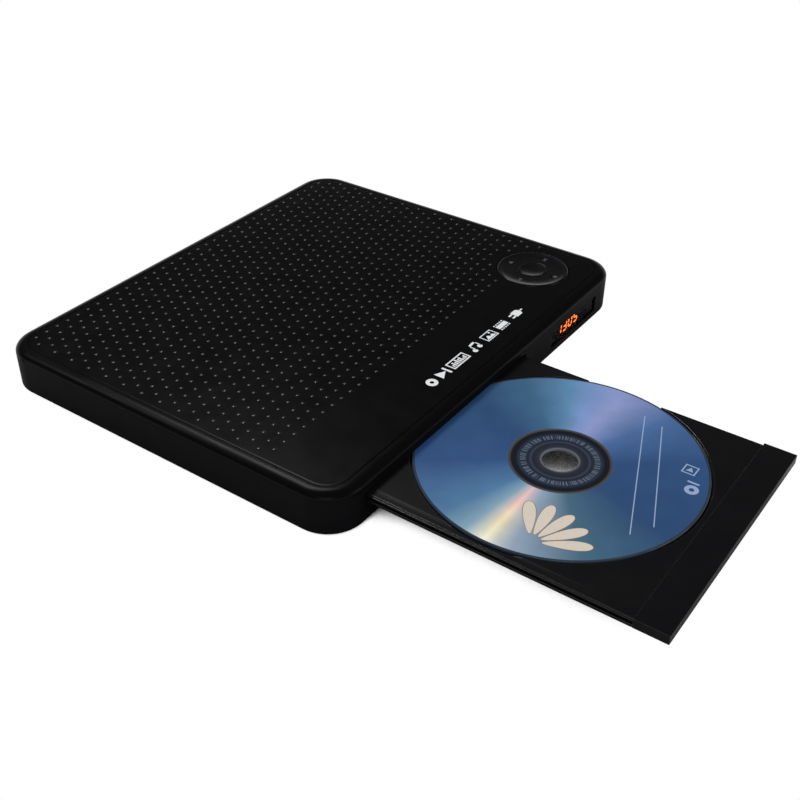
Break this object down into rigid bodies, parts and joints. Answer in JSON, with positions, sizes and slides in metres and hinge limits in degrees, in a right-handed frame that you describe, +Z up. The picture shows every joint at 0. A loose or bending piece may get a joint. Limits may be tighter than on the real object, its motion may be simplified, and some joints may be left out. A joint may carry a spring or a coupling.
{
  "type": "disc player with tray",
  "caption": "Slim disc player with its motorised tray out and a disc on it, a round control pad and a small display.",
  "frame": {"origin": "middle of the footprint with the tray out, on the surface that the feet stand on", "axes": "+Z up, the front with the tray faces -Y, +X to the right as seen from the front"},
  "size_m": [0.236, 0.322, 0.0227],
  "materials": {
    "case_plastic": "fine spark texture",
    "cover_plastic": "satin with small printed dots",
    "rubber": "matt",
    "steel": "zinc plated",
    "clamp_steel": "pressed sheet",
    "key_plastic": "satin, faintly metallic",
    "knob_plastic": "moulded",
    "window": "smoked acrylic",
    "display_black": "potting resin",
    "display_red": "lit segments",
    "board": "solder mask",
    "chip": "moulded epoxy",
    "aluminium": "extruded",
    "socket_plastic": "nylon",
    "jack_plastic": "moulded",
    "nickel": "nickel plated",
    "insert_plastic": "coloured rings",
    "tray_plastic": "moulded",
    "disc_surface": "printed and lacquered",
    "acetal": "moulded acetal",
    "brass": "turned",
    "base_plastic": "moulded",
    "sled_metal": "die cast",
    "lens_plastic": "moulded",
    "lens_glass": "coated lens",
    "magnet": "plated",
    "cable": "flat ribbon"
  },
  "bodies": {
    "root": {"bottom_case": "case_plastic", "top_cover": "cover_plastic", "rubber_feet": "rubber", "case_screws": "steel", "key_board": "board", "key_switches": "steel", "display_window": "window", "led_display": "display_black", "display_digits": "display_red", "ir_receiver": "display_black", "display_board": "board", "main_board": "board", "processor_chip": "chip", "heat_sink": "aluminium", "memory_chips": "chip", "capacitors": "chip", "board_connectors": "socket_plastic", "rca_housings": "jack_plastic", "rca_sleeves": "nickel", "rca_inserts": "insert_plastic", "usb_socket": "steel", "power_jack": "jack_plastic", "power_switch": "steel", "board_screws": "steel", "loader_base": "base_plastic", "loader_screws": "steel", "drive_belt": "rubber", "loading_motor": "steel", "clamp_bridge": "clamp_steel", "bridge_screws": "steel", "flat_cable": "cable"},
    "control_ring": {"control_ring": "key_plastic"},
    "centre_button": {"centre_button": "key_plastic"},
    "power_knob": {"power_knob": "knob_plastic"},
    "tray": {"tray": "tray_plastic", "tray_bezel": "tray_plastic"},
    "disc": {"disc": "disc_surface"},
    "drive_gear": {"drive_gear": "acetal"},
    "pulley_gear": {"pulley_gear": "acetal"},
    "motor_pulley": {"motor_pulley": "brass"},
    "cam_slider": {"cam_slider": "acetal"},
    "traverse": {"traverse_frame": "clamp_steel", "damper_bushes": "rubber", "spindle_motor": "steel", "guide_rods": "steel", "feed_motor": "steel"},
    "turntable": {"turntable": "base_plastic", "turntable_pad": "rubber"},
    "lead_screw": {"lead_screw": "steel"},
    "sled": {"pickup_sled": "sled_metal"},
    "lens": {"lens_holder": "lens_plastic", "objective_lens": "lens_glass"},
    "clamp_puck": {"clamp_puck": "base_plastic", "clamp_magnet": "magnet"}
  },
  "joints": [
    {"name": "tray_slide", "type": "slide", "parent": "root", "child": "tray", "axis": [0, 1, 0], "range_m": [0, 0.128]},
    {"name": "disc_spin", "type": "hinge", "parent": "tray", "child": "disc", "pos_m": [-0.0355, -0.084, 0.0156], "axis": [0, 0, 1], "continuous": true},
    {"name": "drive_gear_spin", "type": "hinge", "parent": "root", "child": "drive_gear", "pos_m": [0.0098, -0.008, 0.0105], "axis": [0, 0, 1], "range_deg": [-1, 918]},
    {"name": "pulley_gear_spin", "type": "hinge", "parent": "root", "child": "pulley_gear", "pos_m": [0.0314, -0.008, 0.0105], "axis": [0, 0, 1], "range_deg": [-2622, 1]},
    {"name": "motor_pulley_spin", "type": "hinge", "parent": "root", "child": "motor_pulley", "pos_m": [0.0514, 0.042, 0.0188], "axis": [0, 0, 1], "range_deg": [-6739, 1]},
    {"name": "traverse_lift", "type": "slide", "parent": "root", "child": "traverse", "axis": [0, 0, 1], "range_m": [0, 0.003]},
    {"name": "cam_slide", "type": "slide", "parent": "root", "child": "cam_slider", "axis": [-1, 0, 0], "range_m": [0, 0.0111]},
    {"name": "spindle_spin", "type": "hinge", "parent": "traverse", "child": "turntable", "pos_m": [-0.0355, 0.044, 0.011], "axis": [0, 0, 1], "continuous": true},
    {"name": "sled_slide", "type": "slide", "parent": "traverse", "child": "sled", "axis": [0, 1, 0], "range_m": [0, 0.032]},
    {"name": "lead_screw_spin", "type": "hinge", "parent": "traverse", "child": "lead_screw", "pos_m": [-0.0715, 0.084, 0.00715], "axis": [0, 1, 0], "range_deg": [-5, 5765]},
    {"name": "lens_focus", "type": "slide", "parent": "sled", "child": "lens", "axis": [0, 0, 1], "range_m": [-0.0003, 0.0003], "stiffness_N_per_m": 60},
    {"name": "clamp_spin", "type": "hinge", "parent": "root", "child": "clamp_puck", "pos_m": [-0.0355, 0.044, 0.018], "axis": [0, 0, 1], "continuous": true},
    {"name": "ring_rock", "type": "hinge", "parent": "root", "child": "control_ring", "pos_m": [0.0875, 0, 0.0193], "axis": [1, 0, 0], "range_deg": [-0.9, 0.9], "stiffness_Nm_per_rad": 0.4},
    {"name": "button_press", "type": "slide", "parent": "root", "child": "centre_button", "axis": [0, 0, -1], "range_m": [0, 0.00035], "stiffness_N_per_m": 400, "springref_m": -0.0006},
    {"name": "power_knob_slide", "type": "slide", "parent": "root", "child": "power_knob", "axis": [0, 1, 0], "range_m": [0, 0.003]}
  ],
  "couplings": [
    {"joint": "drive_gear_spin", "follows": "tray_slide", "rad_per_m": 125},
    {"joint": "pulley_gear_spin", "follows": "tray_slide", "rad_per_m": -357.14},
    {"joint": "motor_pulley_spin", "follows": "tray_slide", "rad_per_m": -918.37},
    {"joint": "cam_slide", "follows": "traverse_lift", "ratio": 3.6667},
    {"joint": "lead_screw_spin", "follows": "sled_slide", "rad_per_m": 3141.6}
  ]
}
